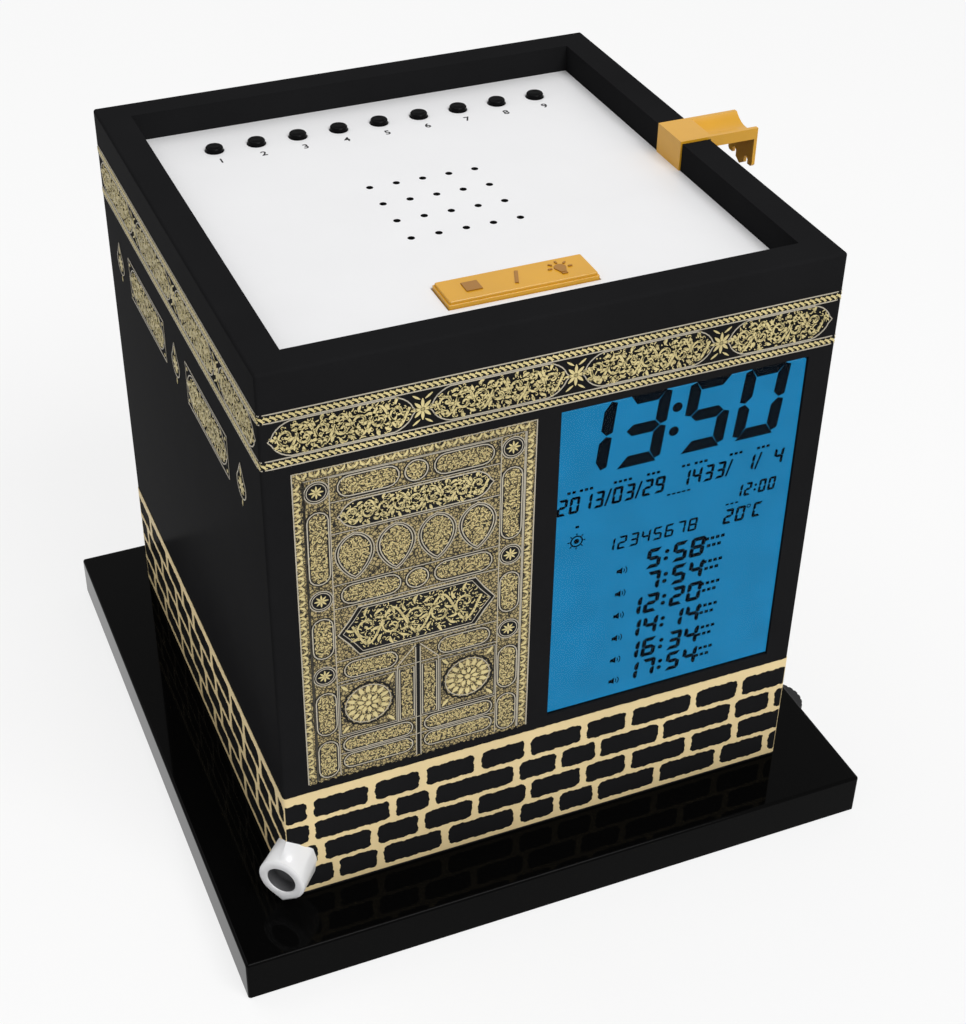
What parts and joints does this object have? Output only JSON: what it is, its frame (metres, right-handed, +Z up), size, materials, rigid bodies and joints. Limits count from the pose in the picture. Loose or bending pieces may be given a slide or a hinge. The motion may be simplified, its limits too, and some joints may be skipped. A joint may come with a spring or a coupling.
{
  "type": "azan clock",
  "caption": "Black cube clock on a square plinth: blue display in front, roof with press keys and a gold bar, small gold spout on the parapet, white oval frame on one corner.",
  "frame": {"origin": "middle of the surface that the rubber feet stand on", "axes": "+Z up, the display faces -Y, +X to the right as the display is read"},
  "size_m": [0.184, 0.18, 0.1748],
  "materials": {
    "black_gloss": "glossy black moulding with printed gold pattern",
    "black_matte": "fine matt black",
    "white_roof": "smooth white",
    "white_frame": "smooth white",
    "gold": "satin gold paint on a moulding",
    "key_black": "glossy black",
    "clear_window": "clear acrylic",
    "blue_display": "blue lit display",
    "clear_guide": "clear acrylic light guide",
    "green_board": "glass fibre board with green mask",
    "plated_steel": "nickel plated",
    "chip_black": "moulded resin",
    "ribbon": "grey flat cable",
    "cell_sleeve": "plain sleeve",
    "magnet": "plain ferrite",
    "rubber": "soft black rubber"
  },
  "bodies": {
    "case": {"bar_board": "green_board", "bar_switches": "chip_black", "base_cover": "black_matte", "battery_cells": "cell_sleeve", "battery_contacts": "plated_steel", "board_screws": "plated_steel", "board_spacers": "plated_steel", "body_screws": "plated_steel", "body_shell": "black_gloss", "button_board": "green_board", "button_switches": "chip_black", "corner_frame": "white_frame", "cover_screws": "plated_steel", "display_board": "green_board", "display_frame": "black_matte", "display_glass": "blue_display", "display_lens": "clear_window", "display_screws": "plated_steel", "inlet_board": "green_board", "light_guide": "clear_guide", "light_strip": "green_board", "main_board": "green_board", "main_board_parts": "chip_black", "main_board_screws": "plated_steel", "plinth": "black_gloss", "power_inlet": "black_matte", "rear_board": "green_board", "rear_screws": "plated_steel", "rear_switches": "chip_black", "ribbon_cable": "ribbon", "roof_panel": "white_roof", "roof_screws": "plated_steel", "roof_spout": "gold", "rubber_feet": "rubber", "speaker_basket": "plated_steel", "speaker_clamps": "plated_steel", "speaker_cone": "black_matte", "speaker_gasket": "rubber", "speaker_magnet": "magnet", "spout_apron": "gold", "volume_board": "green_board", "volume_pot": "chip_black", "volume_screw": "plated_steel"},
    "play_button_1": {"play_button_1": "key_black"},
    "play_button_2": {"play_button_2": "key_black"},
    "play_button_3": {"play_button_3": "key_black"},
    "play_button_4": {"play_button_4": "key_black"},
    "play_button_5": {"play_button_5": "key_black"},
    "play_button_6": {"play_button_6": "key_black"},
    "play_button_7": {"play_button_7": "key_black"},
    "play_button_8": {"play_button_8": "key_black"},
    "play_button_9": {"play_button_9": "key_black"},
    "rear_key_1": {"rear_key_1": "key_black"},
    "rear_key_2": {"rear_key_2": "key_black"},
    "rear_key_3": {"rear_key_3": "key_black"},
    "rear_key_4": {"rear_key_4": "key_black"},
    "stop_light_bar": {"stop_light_bar": "gold"},
    "volume_wheel": {"volume_wheel": "black_matte"},
    "battery_door": {"battery_door": "black_matte"}
  },
  "joints": [
    {"name": "play_button_1_press", "type": "slide", "parent": "case", "child": "play_button_1", "axis": [0, 0, -1], "range_m": [0, 0.0006], "stiffness_N_per_m": 400},
    {"name": "play_button_2_press", "type": "slide", "parent": "case", "child": "play_button_2", "axis": [0, 0, -1], "range_m": [0, 0.0006], "stiffness_N_per_m": 400},
    {"name": "play_button_3_press", "type": "slide", "parent": "case", "child": "play_button_3", "axis": [0, 0, -1], "range_m": [0, 0.0006], "stiffness_N_per_m": 400},
    {"name": "play_button_4_press", "type": "slide", "parent": "case", "child": "play_button_4", "axis": [0, 0, -1], "range_m": [0, 0.0006], "stiffness_N_per_m": 400},
    {"name": "play_button_5_press", "type": "slide", "parent": "case", "child": "play_button_5", "axis": [0, 0, -1], "range_m": [0, 0.0006], "stiffness_N_per_m": 400},
    {"name": "play_button_6_press", "type": "slide", "parent": "case", "child": "play_button_6", "axis": [0, 0, -1], "range_m": [0, 0.0006], "stiffness_N_per_m": 400},
    {"name": "play_button_7_press", "type": "slide", "parent": "case", "child": "play_button_7", "axis": [0, 0, -1], "range_m": [0, 0.0006], "stiffness_N_per_m": 400},
    {"name": "play_button_8_press", "type": "slide", "parent": "case", "child": "play_button_8", "axis": [0, 0, -1], "range_m": [0, 0.0006], "stiffness_N_per_m": 400},
    {"name": "play_button_9_press", "type": "slide", "parent": "case", "child": "play_button_9", "axis": [0, 0, -1], "range_m": [0, 0.0006], "stiffness_N_per_m": 400},
    {"name": "stop_light_bar_press", "type": "slide", "parent": "case", "child": "stop_light_bar", "axis": [0, 0, -1], "range_m": [0, 0.0008], "stiffness_N_per_m": 600},
    {"name": "rear_key_1_press", "type": "slide", "parent": "case", "child": "rear_key_1", "axis": [0, -1, 0], "range_m": [0, 0.0005], "stiffness_N_per_m": 400},
    {"name": "rear_key_2_press", "type": "slide", "parent": "case", "child": "rear_key_2", "axis": [0, -1, 0], "range_m": [0, 0.0005], "stiffness_N_per_m": 400},
    {"name": "rear_key_3_press", "type": "slide", "parent": "case", "child": "rear_key_3", "axis": [0, -1, 0], "range_m": [0, 0.0005], "stiffness_N_per_m": 400},
    {"name": "rear_key_4_press", "type": "slide", "parent": "case", "child": "rear_key_4", "axis": [0, -1, 0], "range_m": [0, 0.0005], "stiffness_N_per_m": 400},
    {"name": "volume_turn", "type": "hinge", "parent": "case", "child": "volume_wheel", "pos_m": [0.0861, -0.0509, 0.0088], "axis": [0, 0, 1], "range_deg": [-135, 135]},
    {"name": "battery_door_slide", "type": "slide", "parent": "case", "child": "battery_door", "axis": [0, 1, 0], "range_m": [0, 0.04]}
  ]
}
